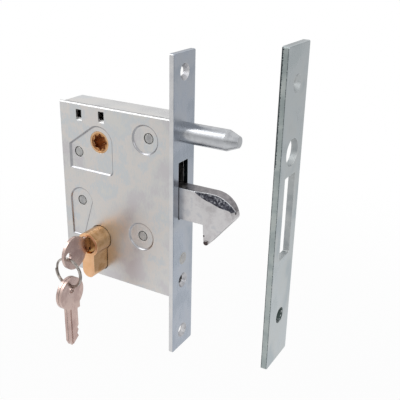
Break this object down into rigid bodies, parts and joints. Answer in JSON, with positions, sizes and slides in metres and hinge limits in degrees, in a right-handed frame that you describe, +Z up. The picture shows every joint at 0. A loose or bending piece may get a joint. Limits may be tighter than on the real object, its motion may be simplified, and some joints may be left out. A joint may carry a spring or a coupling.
{
  "type": "hook lock",
  "caption": "Mortise hook lock for a sliding gate, with a lifting hook, centring pin, profile cylinder with keys, and a slotted strike plate.",
  "frame": {"origin": "on the faceplate's rear face, midway between its two screw holes", "axes": "+X out of the faceplate towards the strike plate, +Y through the case away from the cover side, +Z up along the faceplate"},
  "size_m": [0.161, 0.0814, 0.2154],
  "materials": {
    "case_zinc": "zinc-plated sheet, semi-gloss",
    "faceplate_zinc": "zinc-plated, fine rolled grain",
    "strike_zinc": "zinc-plated, fine rolled grain",
    "pin_steel": "bright turned steel",
    "rivet_steel": "zinc-plated",
    "hook_steel": "cast and zinc-plated, rough",
    "lever_steel": "blanked sheet, zinc-plated",
    "spring_steel": "spring wire",
    "follower_brass": "cast, rubbed",
    "cylinder_brass": "satin drawn brass",
    "cam_steel": "sintered",
    "key_nickel": "nickel-plated, worn",
    "ring_nickel": "nickel-plated wire"
  },
  "bodies": {
    "lock_case": {"case_tray": "case_zinc", "case_cover": "case_zinc", "faceplate": "faceplate_zinc", "centring_pin": "pin_steel", "faceplate_stud": "rivet_steel", "upper_case_rivet": "rivet_steel", "rear_case_rivet": "rivet_steel", "hook_pivot_rivet": "rivet_steel", "lever_pivot_rivet": "rivet_steel", "cylinder_body": "cylinder_brass", "rear_plug": "cylinder_brass", "hook_spring": "spring_steel", "follower_spring": "spring_steel", "lever_spring": "spring_steel"},
    "hook": {"hook": "hook_steel"},
    "follower": {"follower": "follower_brass"},
    "cam_lever": {"cam_lever": "lever_steel"},
    "plug": {"front_plug": "cylinder_brass", "cylinder_cam": "cam_steel"},
    "key": {"key_in_lock": "key_nickel"},
    "ring": {"key_ring": "ring_nickel"},
    "spare_key_front": {"spare_key_front": "key_nickel"},
    "spare_key_rear": {"spare_key_rear": "key_nickel"},
    "strike": {"strike_plate": "strike_zinc"}
  },
  "joints": [
    {"name": "hook_lift", "type": "hinge", "parent": "lock_case", "child": "hook", "pos_m": [-0.0225, 0, -0.0204], "axis": [0, -1, 0], "range_deg": [0, 22]},
    {"name": "follower_turn", "type": "hinge", "parent": "lock_case", "child": "follower", "pos_m": [-0.056, 0, 0.0383], "axis": [0, 1, 0], "range_deg": [0, 29.4]},
    {"name": "lever_swing", "type": "hinge", "parent": "lock_case", "child": "cam_lever", "pos_m": [-0.0725, 0, -0.0058], "axis": [0, 1, 0], "range_deg": [0, 17.5]},
    {"name": "plug_turn", "type": "hinge", "parent": "lock_case", "child": "plug", "pos_m": [-0.057, 0, -0.0297], "axis": [0, 1, 0], "range_deg": [0, 65]},
    {"name": "key_slide", "type": "slide", "parent": "plug", "child": "key", "axis": [0, -1, 0], "range_m": [0, 0.03]},
    {"name": "ring_swing", "type": "hinge", "parent": "key", "child": "ring", "pos_m": [-0.057, -0.0452, -0.03145], "axis": [1, 0, 0], "range_deg": [-60, 20]},
    {"name": "spare_key_front_swing", "type": "hinge", "parent": "ring", "child": "spare_key_front", "pos_m": [-0.057, -0.0452, -0.05145], "axis": [1, 0, 0], "range_deg": [-40, 12]},
    {"name": "spare_key_rear_swing", "type": "hinge", "parent": "ring", "child": "spare_key_rear", "pos_m": [-0.057, -0.0452, -0.05145], "axis": [1, 0, 0], "range_deg": [-40, 12]},
    {"name": "strike_close", "type": "slide", "parent": "lock_case", "child": "strike", "axis": [-1, 0, 0], "range_m": [0, 0.041]}
  ],
  "couplings": [
    {"joint": "follower_turn", "follows": "hook_lift", "ratio": 1.33},
    {"joint": "lever_swing", "follows": "hook_lift", "ratio": 0.79},
    {"joint": "plug_turn", "follows": "hook_lift", "ratio": 2.95}
  ]
}
